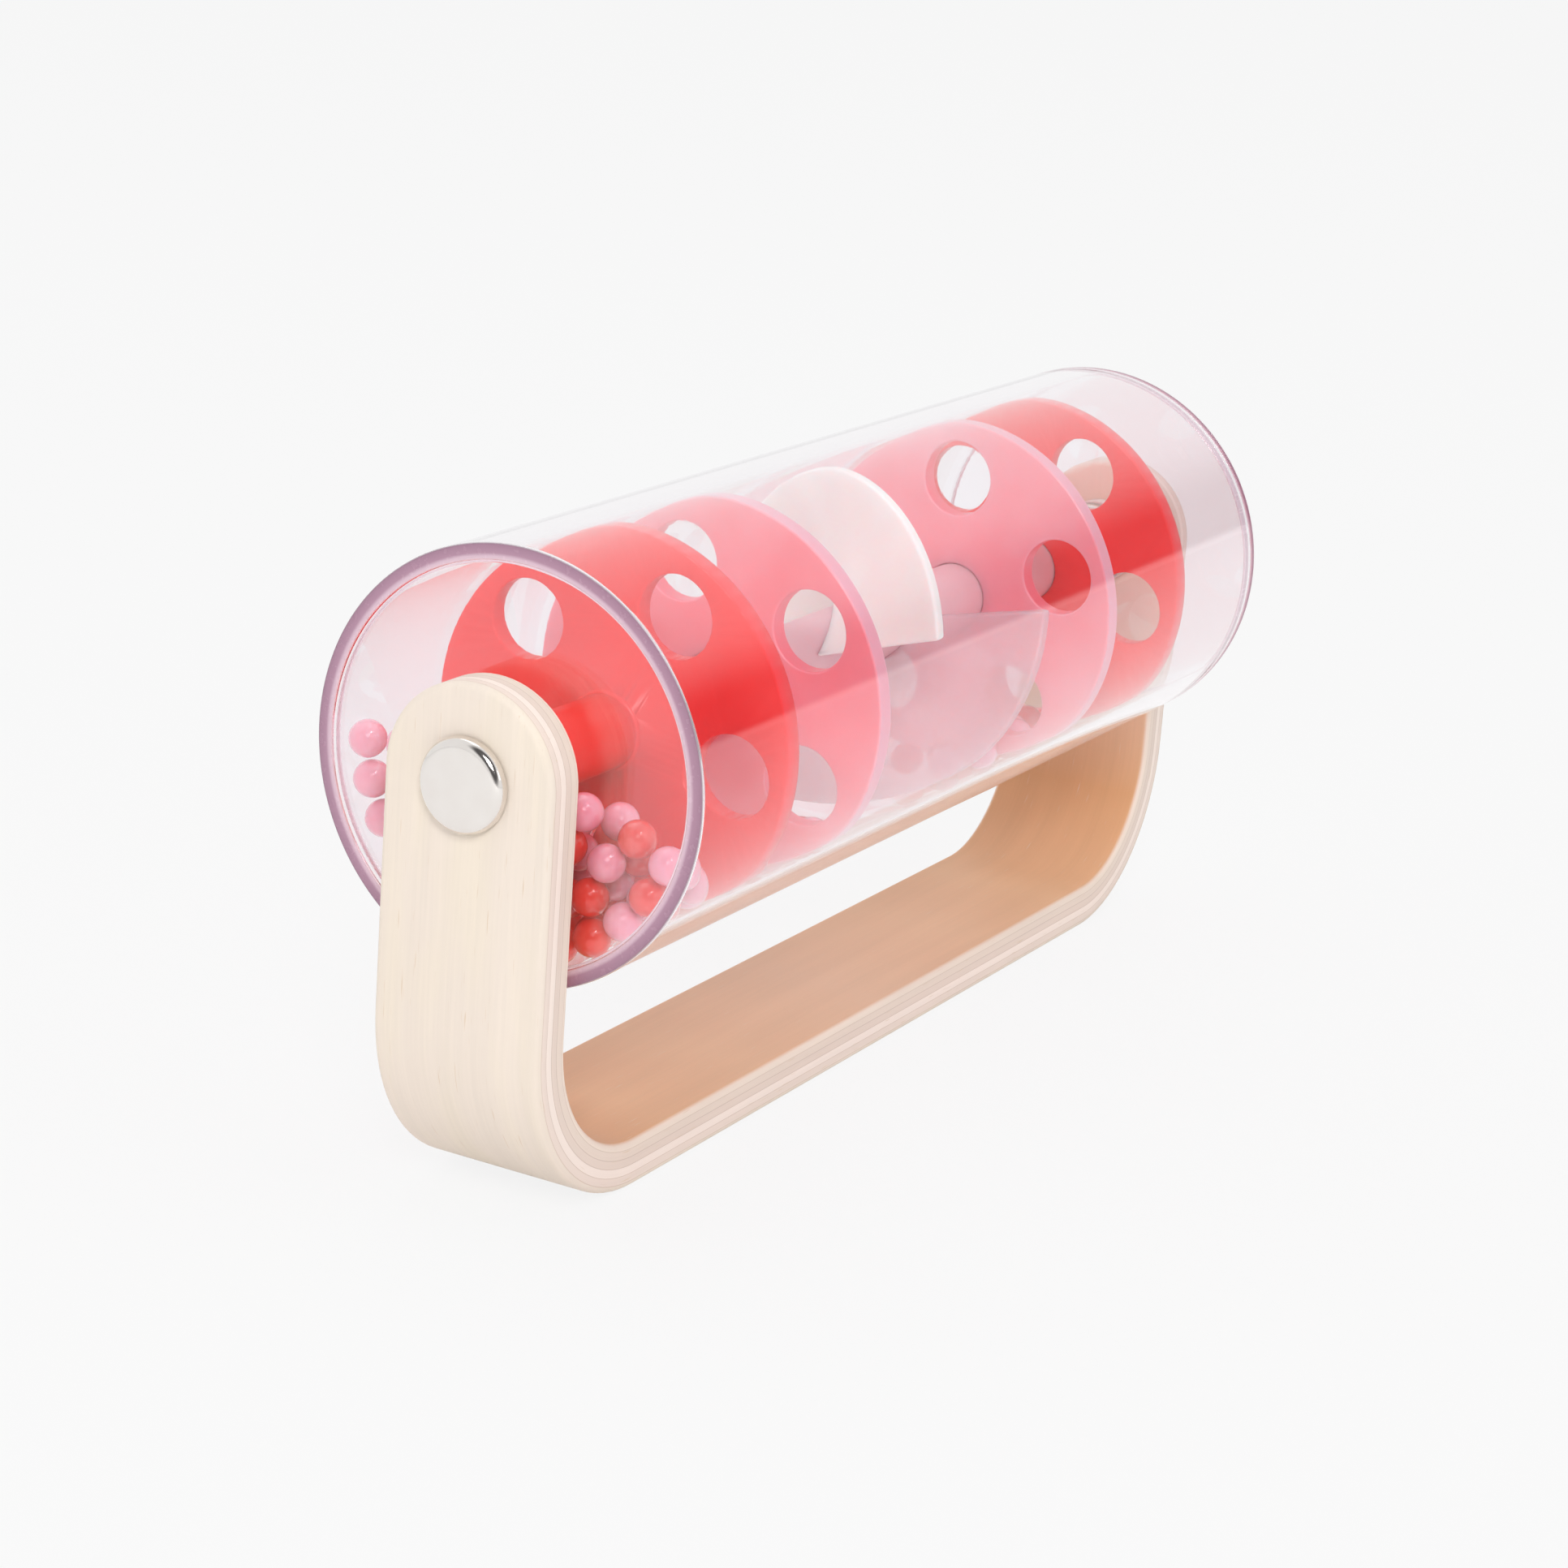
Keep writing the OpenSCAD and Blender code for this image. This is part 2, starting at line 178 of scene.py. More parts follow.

# %% [markdown]
# The colours come next. The layers are told apart by depth, from the inner face at 0 to the outer face at 1:
# face veneers, then cross and long layers by turns, with darker glue lines between them.
# The painted tan of the inner face, which stands for shade and drum light, changes a little from the middle
# of the base, at 0, up to the legs.

# %% Birch plywood: colours
STRIP_T = 7.0
layers = [(0.0, "#ecddcf"), (0.155, "#d8c5b6"), (0.17, "#e6d6c9"), (0.33, "#d0bdb0"), (0.345, "#e4d3c7"),
          (0.50, "#d3c0b3"), (0.515, "#f4e6dc"), (0.68, "#d5c1b3"), (0.695, "#eadacf"), (0.845, "#d7c3b4"),
          (0.86, "#e9dccf")]
through = add(tree, "ShaderNodeMapRange", {0: depth, 1: 0.0, 2: STRIP_T * MM})
layered = add(tree, "ShaderNodeValToRGB", {0: through}, stops=layers)
layered.node.color_ramp.interpolation = "CONSTANT"
OUTER_FADE = 0.02
outer_start = layers[-1][0]
in_outer = add(tree, "ShaderNodeMapRange",
               {0: through, 1: outer_start - OUTER_FADE, 2: outer_start + OUTER_FADE})
cloudy = add(tree, "ShaderNodeMapRange", {0: patterns["clouds"], 1: 0.42, 2: 0.66, 3: 0.0, 4: 0.45})
cloud_share = add(tree, "ShaderNodeMath", {0: cloudy, 1: in_outer}, operation="MULTIPLY")
clouded = add(tree, "ShaderNodeMix", {0: cloud_share, 6: layered, 7: "#ebdfcb"}, 2, data_type="RGBA")
LEG_RUN = 150 * MM
# Painted light: shade under the tube and red-pink light from the drum, as tan stops along the inner face.
painted_drum_light = [(0.0, "#dfbda0"), (0.42, "#deb792"), (0.66, "#d6a97c"), (0.9, "#f0dcc8")]
up_to_leg = add(tree, "ShaderNodeMapRange", {0: run, 1: 0.0, 2: LEG_RUN})
painted_inner_light = add(tree, "ShaderNodeValToRGB", {0: up_to_leg}, stops=painted_drum_light)
off_side = add(tree, "ShaderNodeMapRange", {0: to_edge, 1: 0.25 * MM, 2: 0.7 * MM})
near_inside = add(tree, "ShaderNodeMapRange", {0: depth, 1: 0.8 * MM, 2: 0.5 * MM})
painted_light_share = add(tree, "ShaderNodeMath", {0: off_side, 1: near_inside}, operation="MULTIPLY")
veneers = add(tree, "ShaderNodeMix", {0: painted_light_share, 6: clouded, 7: painted_inner_light}, 2, data_type="RGBA")
print("birch plywood:", len(layers), "stops through the layers and", len(painted_drum_light), "along the inner face")

# %% [markdown]
# Last, fibres and bands shade the colours, a few short flecks darken them, and the fibres stand up a little.

# %% Birch plywood: surface
FIBRE_SHARE = 0.55
fibres, bands = patterns["fibres"], patterns["bands"]
tone = add(tree, "ShaderNodeMath", {0: fibres, 1: FIBRE_SHARE, 2: bands}, operation="MULTIPLY_ADD")
shade_step = add(tree, "ShaderNodeMapRange", {0: tone, 1: 0.5, 2: 1.05, 3: 0.945, 4: 1.035})
grained = add(tree, "ShaderNodeVectorMath", {0: veneers, "Scale": shade_step}, operation="SCALE")
fleck_share = add(tree, "ShaderNodeMapRange", {0: patterns["flecks"], 1: 0.7, 2: 0.82})
flecked = add(tree, "ShaderNodeMix", {0: fleck_share, 6: grained, 7: "#dcc7b0"}, 2, data_type="RGBA")
fibre_rough = add(tree, "ShaderNodeMapRange", {0: fibres, 3: 0.46, 4: 0.62})
raised_fibres = add(tree, "ShaderNodeBump", {"Strength": 0.25, "Distance": 0.05 * MM, "Height": fibres})
wood = add(tree, "ShaderNodeBsdfPrincipled", {
    "Base Color": flecked, "Roughness": fibre_rough, "Normal": raised_fibres, "IOR": 1.5,
    "Specular IOR Level": 0.35})
add(tree, "ShaderNodeOutputMaterial", {0: wood})
print("birch plywood:", len(tree.nodes), "nodes")


# %% [markdown]
# ### Clear plastics
# The tube is extruded acrylic, which bends light at an IOR of 1.49.
# The end caps are moulded polystyrene, which bends it a little more and is glossier.
# Both have a faint violet tint that only shows where light runs a long way through, so it comes from
# absorption in the volume. Drawing the tube through its die leaves very fine lines along it,
# which are drawn nearly a millimetre wide so that they show.
# The tube's ends are sawn, so their rims are slightly frosted. Their mauve, darkest at the outer edge, is
# painted light that stands for light carried along inside the wall.
# The caps are glued in, so a thin frosted line runs round their edges.
# Lamps and scattered light pass straight through, so that the beads inside are lit as in the real toy.
# Light that has bounced along inside the wall many times is let out too, or the rim would come out black.

# %% Clear plastics
RIM_ROUGH, MANY_BOUNCES = 0.25, 3.5
# Painted light: mauves across the sawn wall, from the bore to the outer edge, for light carried along inside
# it.
MAUVES = [(0.0, "#dfc6d1"), (0.25, "#d0b2c1"), (0.42, "#ad869b"), (0.85, "#a07a8f"), (1.0, "#6f5160")]


def clear_plastic(name, ior, coat, rim_x, glue_r):
    """A clear plastic that lets light in. It is frosted and given a painted mauve edge glow from rim_x along
    the tube, at the saw cut, and from glue_r off the tube's axis, where it is glued. Both are in millimetres."""
    made, tree = new_material(name)
    place = add(tree, "ShaderNodeTexCoord", out="Object")
    spread = add(tree, "ShaderNodeMapping", {"Vector": place, "Scale": per(60, 0.9, 0.9)})
    die_lines = add(tree, "ShaderNodeTexNoise", {"Vector": spread, "Scale": 1.0, "Detail": 2.0}, "Fac")
    endways = add(tree, "ShaderNodeSeparateXYZ", {0: place}, "X")
    along = add(tree, "ShaderNodeMath", {0: endways}, operation="ABSOLUTE")
    reach = axis_distance(tree, place)
    cut_end = add(tree, "ShaderNodeMapRange", {0: along, 1: (rim_x - 0.3) * MM, 2: (rim_x - 0.05) * MM})
    glued = add(tree, "ShaderNodeMapRange", {0: reach, 1: (glue_r - 0.1) * MM, 2: glue_r * MM})
    rim = add(tree, "ShaderNodeMath", {0: cut_end, 1: glued}, operation="MAXIMUM")
    in_wall = add(tree, "ShaderNodeMapRange", {0: reach, 1: BORE_R * MM, 2: TUBE_R * MM})
    sawn_and_painted_glow = add(tree, "ShaderNodeValToRGB", {0: in_wall}, stops=MAUVES)
    colour = add(tree, "ShaderNodeMix", {0: rim, 6: "#fdfbfd", 7: sawn_and_painted_glow}, 2, data_type="RGBA")
    drawn_rough = add(tree, "ShaderNodeMapRange", {0: die_lines, 1: 0.45, 2: 0.8, 3: 0.0, 4: 0.05})
    rough = add(tree, "ShaderNodeMath", {0: rim, 1: RIM_ROUGH, 2: drawn_rough}, operation="MULTIPLY_ADD")
    clear_share = add(tree, "ShaderNodeMapRange", {0: rim, 3: 1.0, 4: 0.0})
    drawn = add(tree, "ShaderNodeBump", {"Strength": 0.04, "Distance": 0.02 * MM, "Height": die_lines})
    clear = add(tree, "ShaderNodeBsdfPrincipled", {
        "Base Color": colour, "Roughness": rough, "Normal": drawn, "Transmission Weight": clear_share,
        "IOR": ior, "Coat Weight": coat, "Coat Roughness": 0.03, "Coat IOR": 1.6})
    ray = add(tree, "ShaderNodeLightPath").node.outputs
    lit_inside = add(tree, "ShaderNodeMath", {0: ray["Is Shadow Ray"], 1: ray["Is Diffuse Ray"]},
                     operation="MAXIMUM")
    trapped = add(tree, "ShaderNodeMath", {0: ray["Ray Depth"], 1: MANY_BOUNCES}, operation="GREATER_THAN")
    lets_light = add(tree, "ShaderNodeMath", {0: lit_inside, 1: trapped}, operation="MAXIMUM")
    open_way = add(tree, "ShaderNodeBsdfTransparent", {0: (1, 1, 1, 1)})
    surface = add(tree, "ShaderNodeMixShader", {0: lets_light, 1: clear, 2: open_way})
    tint = add(tree, "ShaderNodeVolumeAbsorption", {"Color": "#c9a2bd", "Density": 6.0})
    add(tree, "ShaderNodeOutputMaterial", {"Surface": surface, "Volume": tint})
    return made


CAP_R, GLUE_LINE = 27.55, 0.2
NOT_SAWN, NOT_GLUED = 2 * TUBE_HALF, 2 * TUBE_R
acrylic = clear_plastic("clear_acrylic", 1.49, 0.0, TUBE_HALF, NOT_GLUED)
polystyrene = clear_plastic("clear_polystyrene", 1.59, 0.6, NOT_SAWN, CAP_R - GLUE_LINE)
print("clear plastics:", acrylic.name, "and", polystyrene.name)


# %% [markdown]
# ### Polished steel and nylon
# The pivot pins are turned from steel and polished, which leaves faint rings round the axis on the heads.
# Real rings are too fine to show, so they are drawn 0.3 mm apart, from the distance to the tube's axis.
# The washers are white moulded nylon, slightly grainy.

# %% Polished steel and nylon
RING_STEP = 0.3 * MM
steel, tree = new_material("polished_steel")
place = add(tree, "ShaderNodeTexCoord", out="Object")
reach = axis_distance(tree, place)
ring_count = add(tree, "ShaderNodeMath", {0: reach, 1: 1 / RING_STEP}, operation="MULTIPLY")
rings = add(tree, "ShaderNodeTexNoise", {"W": ring_count, "Scale": 1.0, "Detail": 2.0}, "Fac",
            noise_dimensions="1D")
smears = add(tree, "ShaderNodeTexNoise", {"Vector": place, "Scale": per(3)[0], "Detail": 2.0}, "Fac")
steel_colour = add(tree, "ShaderNodeMix", {0: smears, 6: "#e4ded9", 7: "#ece8e4"}, 2, data_type="RGBA")
steel_rough = add(tree, "ShaderNodeMapRange", {0: smears, 3: 0.08, 4: 0.14})
turned_rings = add(tree, "ShaderNodeBump", {"Strength": 0.06, "Distance": 0.02 * MM, "Height": rings})
pin_steel = add(tree, "ShaderNodeBsdfPrincipled", {
    "Base Color": steel_colour, "Metallic": 1.0, "Roughness": steel_rough, "Normal": turned_rings})
add(tree, "ShaderNodeOutputMaterial", {0: pin_steel})

nylon, tree = new_material("white_nylon")
place = add(tree, "ShaderNodeTexCoord", out="Object")
grain = add(tree, "ShaderNodeTexNoise", {"Vector": place, "Scale": per(0.6)[0], "Detail": 3.0}, "Fac")
nylon_colour = add(tree, "ShaderNodeMix", {0: grain, 6: "#e6e3dc", 7: "#f4f2ed"}, 2, data_type="RGBA")
grainy = add(tree, "ShaderNodeBump", {"Strength": 0.2, "Distance": 0.03 * MM, "Height": grain})
washer_nylon = add(tree, "ShaderNodeBsdfPrincipled", {
    "Base Color": nylon_colour, "Roughness": 0.5, "Normal": grainy,
    "Subsurface Weight": 0.2, "Subsurface Scale": 1 * MM})
add(tree, "ShaderNodeOutputMaterial", {0: washer_nylon})
print("polished steel and white nylon ready")


# %% [markdown]
# ### Moulded plastics
# Discs, vanes, shaft and beads are moulded from coloured plastic that lets some light through.
# One recipe serves them all: a colour that drifts a little, as pigment does in a mould, a soft moulded skin,
# and light that wanders under the surface.
# The discs have painted shade, a deeper colour, on the walls of their holes, and a paler painted highlight on
# their rims.
# The side of a hub has painted shade too, a deeper red.
# The beads have a glossy skin. The lower vane is the same milky plastic with painted shade and painted pink
# light, and lets half of what lies behind show through.

# %% Moulded plastics
DISC_R, HUB_ZONE, RIM_ZONE = 26.9, 10, 1


def moulded_plastic(name, low, high, rough, wander_mm, under, drift_mm=9.0, clear_share=0.0, wall=None,
                    rim=None, hub=None, gloss=0.0, sheen=0.5, solid=1.0):
    """A moulded plastic with two hex colours that drift, a roughness, and light under its skin.
    wall and hub are painted shade, a deeper colour on the sides of a disc's holes and on its hub, and rim is
    a painted highlight on its edge.
    solid is the share of what lies behind that it hides."""
    made, tree = new_material(name)
    place = add(tree, "ShaderNodeTexCoord", out="Object")
    drift = add(tree, "ShaderNodeTexNoise",
                {"Vector": place, "Scale": per(drift_mm)[0], "Detail": 2.0}, "Fac")
    skin = add(tree, "ShaderNodeTexNoise", {"Vector": place, "Scale": per(0.8)[0], "Detail": 2.0}, "Fac")
    shares = add(tree, "ShaderNodeMapRange", {0: drift, 1: 0.3, 2: 0.7})
    colour = add(tree, "ShaderNodeMix", {0: shares, 6: low, 7: high}, 2, data_type="RGBA")
    # Painted light on a disc's sides: painted shade on the hole walls and the hub, a painted highlight on the
    # rim.
    if wall:
        normal = add(tree, "ShaderNodeNewGeometry", out="Normal")
        facing = add(tree, "ShaderNodeSeparateXYZ", {0: normal}, "X")
        endways = add(tree, "ShaderNodeMath", {0: facing}, operation="ABSOLUTE")
        is_side = add(tree, "ShaderNodeMapRange", {0: endways, 1: 0.75, 2: 0.35})
        reach = axis_distance(tree, place)
        rim_start = (DISC_R - RIM_ZONE) * MM
        at_rim = add(tree, "ShaderNodeMath", {0: reach, 1: rim_start}, operation="GREATER_THAN")
        beyond_hub = add(tree, "ShaderNodeMath", {0: reach, 1: HUB_ZONE * MM}, operation="GREATER_THAN")
        outer_side = add(tree, "ShaderNodeMix", {0: at_rim, 6: wall, 7: rim}, 2, data_type="RGBA")
        side = add(tree, "ShaderNodeMix", {0: beyond_hub, 6: hub or low, 7: outer_side}, 2, data_type="RGBA")
        colour = add(tree, "ShaderNodeMix", {0: is_side, 6: colour, 7: side}, 2, data_type="RGBA")
    skin_rough = add(tree, "ShaderNodeMapRange", {0: skin, 3: rough * 0.75, 4: rough * 1.25})
    moulded = add(tree, "ShaderNodeBump", {"Strength": 0.08, "Distance": 0.04 * MM, "Height": skin})
    shader = add(tree, "ShaderNodeBsdfPrincipled", {
        "Base Color": colour, "Roughness": skin_rough, "Normal": moulded, "IOR": 1.5,
        "Subsurface Weight": under, "Subsurface Radius": (1.0, 0.45, 0.4), "Subsurface Scale": wander_mm * MM,
        "Transmission Weight": clear_share, "Specular IOR Level": sheen,
        "Coat Weight": gloss, "Coat Roughness": 0.06, "Alpha": solid})
    add(tree, "ShaderNodeOutputMaterial", {0: shader})
    return made


# The wall and hub colours are painted shade, and the rim colour is a paler painted highlight.
red_plastic = moulded_plastic("red_moulded_plastic", "#f91a1c", "#fd2728", 0.32, 1.0, 0.25,
                              wall="#f2262a", rim="#f8323a", hub="#ec0e10", sheen=0.3)
pink_plastic = moulded_plastic("pink_moulded_plastic", "#f68d9b", "#fa9dab", 0.32, 3.5, 0.8,
                               wall="#f27083", rim="#e9a2b4")
white_vane = moulded_plastic("milky_white_plastic", "#ece4e3", "#f1edeb", 0.4, 4.0, 1.0)
# Painted shade: the lower vane's copy of the milky plastic is darker and pinker because it lies low in the
# tube.
vane_with_painted_shade = moulded_plastic("milky_pink_plastic", "#dcb4bd", "#e0bec6", 0.4, 4.0, 1.0, solid=0.5)
shaft_plastic = moulded_plastic("pale_moulded_plastic", "#ecb6bf", "#f0c5cc", 0.35, 2.0, 0.5)
pink_bead = moulded_plastic("pink_bead_plastic", "#ea90a7", "#efa4b7", 0.1, 2.0, 0.5,
                            drift_mm=4.0, gloss=0.8)
red_bead = moulded_plastic("red_bead_plastic", "#f2322a", "#fb443a", 0.08, 2.5, 0.6,
                           drift_mm=4.0, clear_share=0.15, gloss=0.8)
print("moulded plastics: red, pink, milky white, milky pink, pale, pink bead, red bead")


# %% [markdown]
# ## Handle
# The real handle starts as a flat stack of veneers, pressed round a mould and cut to a strip with round ends.
# A sweep along a path could make the legs, but not the round ends with their rolled edges.
# So the strip is drawn flat, as a stack of outlines that shrink where its edges are rounded, and then bent.
# The same sum, run backwards, gives each point its place in the flat strip for the wood's grain.

# %% Bend a flat strip
STRIP_W, BEND_R, LEG_IN, END_Z = 26.0, 20.0, 92.0, 61.4
BEND_X, BEND_Z = LEG_IN - BEND_R, STRIP_T + BEND_R
QUARTER = math.pi / 2
ARC = QUARTER * (BEND_R + STRIP_T / 2)
END_S = BEND_X + ARC + END_Z - BEND_Z


def bent(s, y, d):
    """The place in space of a point at s along, y across and d below the inner face of the flat strip."""
    a = abs(s)
    turn = min(max((a - BEND_X) / ARC, 0), 1) * QUARTER
    x = min(a, BEND_X) + (BEND_R + d) * math.sin(turn)
    z = BEND_Z - (BEND_R + d) * math.cos(turn) + max(a - BEND_X - ARC, 0)
    return (math.copysign(x, s), y, z)


def flattened(points):
    """The places along, across and through the flat strip of points on the bent one, as an array."""
    x, y, z = points.T
    out = np.maximum(np.abs(x) - BEND_X, 0)
    down = np.maximum(BEND_Z - z, 0)
    in_bend = np.arctan2(out, down) / QUARTER * ARC
    s = np.minimum(np.abs(x), BEND_X) + in_bend + np.maximum(z - BEND_Z, 0)
    return np.stack([np.sign(x) * s, y, np.hypot(out, down) - BEND_R], axis=1)


def outline_side(inset):
    """Points of one long side of the strip's outline, from tip to tip, drawn in by inset."""
    half = STRIP_W / 2 - inset
    turns = [math.radians(a) for a in range(5, 91, 5)]
    straight = np.concatenate([np.linspace(0, BEND_X, 25), BEND_X + np.linspace(0, ARC, 25)[1:],
                               np.linspace(BEND_X + ARC, END_S, 13)[1:]])
    tip = [(END_S + half * math.sin(t), half * math.cos(t)) for t in turns]
    right = [(s, half) for s in straight] + tip
    return [(-s, y) for s, y in right[:0:-1]] + right


print("strip:", round(2 * (END_S + STRIP_W / 2), 1), "mm long when flat")

# %% [markdown]
# Every piece below ends in the same two steps.
# Its mesh gets smooth shading with sharp edges kept, and the piece is tied to its body while its CAD node is
# hidden.

# %% Helpers for pieces
SHARP = math.radians(40)


def new_piece(name, mesh, material, body, node):
    """Adds a finished piece at the origin that rides on a body and stands for a CAD node."""
    made = bpy.data.objects.new(name, mesh)
    bpy.context.scene.collection.objects.link(made)
    mesh.materials.clear()
    mesh.materials.append(material)
    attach(made, body)
    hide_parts(node)


def solid_mesh(name, points_mm, faces):
    """A smooth mesh from points in millimetres, with its faces turned outwards."""
    mesh = bpy.data.meshes.new(name)
    mesh.from_pydata([Vector(p) * MM for p in points_mm], [], faces)
    form = bmesh.new()
    form.from_mesh(mesh)
    bmesh.ops.recalc_face_normals(form, faces=form.faces)
    form.to_mesh(mesh)
    form.free()
    mesh.shade_smooth()
    mesh.set_sharp_from_angle(angle=SHARP)
    return mesh


def ring_faces(rows, ring):
    """The faces between neighbouring rings of points, each ring closed on itself."""
    return [(k * ring + i, k * ring + (i + 1) % ring, (k + 1) * ring + (i + 1) % ring, (k + 1) * ring + i)
            for k in range(rows - 1) for i in range(ring)]


print("piece helpers ready")

# %% [markdown]
# The outlines are stacked from the inner face to the outer one. On a rounded edge the inset follows a quarter
# circle. One more outline just inside each edge keeps the shading of the flat faces flat.

# %% Make the handle
EDGE_R, SUPPORT = 1.0, 0.4
arc_turns = [math.radians(a) for a in range(0, 91, 15)]
edge = [(EDGE_R * (1 - math.sin(t)), EDGE_R * (1 - math.cos(t))) for t in arc_turns]
half_stack = [(EDGE_R + SUPPORT, 0)] + edge + [(0, EDGE_R + SUPPORT)]
stack = half_stack + [(inset, STRIP_T - d) for inset, d in reversed(half_stack)]
points = []
for inset, d in stack:
    side = outline_side(inset)
    points += [bent(s, y, d) for s, y in side] + [bent(s, -y, d) for s, y in side[-2:0:-1]]
side_count = len(outline_side(0))
ring = 2 * side_count - 2
faces = ring_faces(len(stack), ring)
for first in (0, (len(stack) - 1) * ring):
    other = [first] + [first + ring - i for i in range(1, side_count - 1)] + [first + side_count - 1]
    for i in range(side_count - 1):
        corners = (first + i, first + i + 1, other[i + 1], other[i])
        faces.append(tuple(dict.fromkeys(corners)))
handle_mesh = solid_mesh("bent_plywood_handle", points, faces)
print("handle:", len(points), "points,", len(faces), "faces")

# %% [markdown]
# The pins run in a hole through both legs.
# A Boolean modifier drills it, and the result is made a plain mesh.

# %% Drill the handle
def loose_object(name, data):
    """An object in the scene that isn't a piece of the toy."""
    made = bpy.data.objects.new(name, data)
    bpy.context.scene.collection.objects.link(made)
    return made


def evaluated_mesh(thing, name):
    """The plain mesh of an object with its modifiers applied. The object itself is removed."""
    graph = bpy.context.evaluated_depsgraph_get()
    mesh = bpy.data.meshes.new_from_object(thing.evaluated_get(graph), depsgraph=graph)
    mesh.name = name
    bpy.data.objects.remove(thing)
    return mesh


def combined(name, mesh, other, operation):
    """One plain mesh from two by a Boolean modifier."""
    base, tool = loose_object(name + "_base", mesh), loose_object(name + "_tool", other)
    boolean = base.modifiers.new("combined", "BOOLEAN")
    boolean.object, boolean.operation, boolean.solver = tool, operation, "EXACT"
    made = evaluated_mesh(base, name)
    bpy.data.objects.remove(tool)
    made.set_sharp_from_angle(angle=SHARP)
    return made


PIN_R, PIN_PLAY = 2.5, 0.06
drill_r = (PIN_R + PIN_PLAY) * MM
along_tube = Matrix.Translation((0, 0, PIVOT_Z * MM)) @ Matrix.Rotation(QUARTER, 4, "Y")
drill_form = bmesh.new()
bmesh.ops.create_cone(drill_form, cap_ends=True, segments=64, radius1=drill_r, radius2=drill_r,
                      depth=3 * TUBE_HALF * MM, matrix=along_tube)
drill_mesh = bpy.data.meshes.new("drill")
drill_form.to_mesh(drill_mesh)
drill_form.free()
drilled = combined("plywood_handle", handle_mesh, drill_mesh, "DIFFERENCE")
print("handle drilled:", len(drilled.vertices), "points")

# %% [markdown]
# The drilled handle gets the two attributes that its wood reads: the place in the flat strip,
# and the distance to the strip's outline, which is round at the ends.

# %% Mark the handle for its grain
spots = np.empty(len(drilled.vertices) * 3, np.float32)
drilled.vertices.foreach_get("co", spots)
places = flattened(spots.reshape(-1, 3) / MM) * MM
past_end = np.maximum(np.abs(places[:, 0]) - END_S * MM, 0)
to_outline = STRIP_W / 2 * MM - np.hypot(past_end, places[:, 1])
strip_marks = drilled.attributes.new("strip", "FLOAT_VECTOR", "POINT")
strip_marks.data.foreach_set("vector", places.astype(np.float32).ravel())
edge_marks = drilled.attributes.new("edge", "FLOAT", "POINT")
edge_marks.data.foreach_set("value", to_outline.astype(np.float32))
new_piece("plywood_handle", drilled, birch, "handle", "bent_plywood_handle")
print("handle marked:", [a.name for a in drilled.attributes if a.name in ("strip", "edge")])


# %% [markdown]
# ## Turned pieces
# Tube, end caps, washers, pins and shaft are round about the tube's axis, so each is a half section turned
# round it. A section is a list of corners, as distance along the tube and radius. Sharp corners catch no
# light, so each corner gets a small arc, with a point just beyond each end of it to keep the flats flat.

# %% Turn a section round the tube's axis
MOST_OF_SIDE, BEYOND_ARC = 0.4, 1.2


def eased(corners, radius, closed=True, steps=4):
    """The corners of a section with a small arc at each. The ends of an open section stay as they are."""
    made, n = [], len(corners)
    for i, corner in enumerate(corners):
        if not closed and i in (0, n - 1):
            made.append(corner)
            continue
        p, before, after = (np.array(corners[k % n], float) for k in (i, i - 1, i + 1))
        to_before, to_after = before - p, after - p
        length_before, length_after = np.linalg.norm(to_before), np.linalg.norm(to_after)
        reach = min(radius, MOST_OF_SIDE * length_before, MOST_OF_SIDE * length_after)
        a = p + to_before / length_before * reach
        b = p + to_after / length_after * reach
        made.append(tuple(p + (a - p) * BEYOND_ARC))
        for k in range(steps + 1):
            t = k / steps
            made.append(tuple((1 - t) ** 2 * a + 2 * t * (1 - t) * p + t ** 2 * b))
        made.append(tuple(p + (b - p) * BEYOND_ARC))
    return made


def turned(name, section, closed=True, segments=144):
    """A mesh made by turning a section round the tube's axis. An open section begins and ends on the axis."""
    points, faces, rows = [], [], []
    for x, r in section:
        if r == 0:
            rows.append([len(points)] * segments)
            points.append((x, 0, PIVOT_Z))
            continue
        rows.append(list(range(len(points), len(points) + segments)))
        for k in range(segments):
            a = 2 * math.pi * k / segments
            points.append((x, -r * math.cos(a), PIVOT_Z + r * math.sin(a)))
    for i in range(len(rows) if closed else len(rows) - 1):
        one, two = rows[i], rows[(i + 1) % len(rows)]
        for k in range(segments):
            j = (k + 1) % segments
            faces.append(tuple(dict.fromkeys((one[k], one[j], two[j], two[k]))))
    return solid_mesh(name, points, faces)


TUBE_EASE = 0.5
tube_corners = [(-TUBE_HALF, TUBE_R), (TUBE_HALF, TUBE_R), (TUBE_HALF, BORE_R), (-TUBE_HALF, BORE_R)]
tube_mesh = turned("acrylic_tube", eased(tube_corners, TUBE_EASE), segments=192)
new_piece("acrylic_tube", tube_mesh, acrylic, "drum", "clear_tube")
print("tube:", len(tube_mesh.polygons), "faces")

# %% [markdown]
# The pieces of the two ends are the same but face opposite ways. So each section is written once for the far
# end, and its distances along the tube change sign for the near end.
# A pin's head has a slightly crowned face and a full rounding, which catches the light as a crescent.

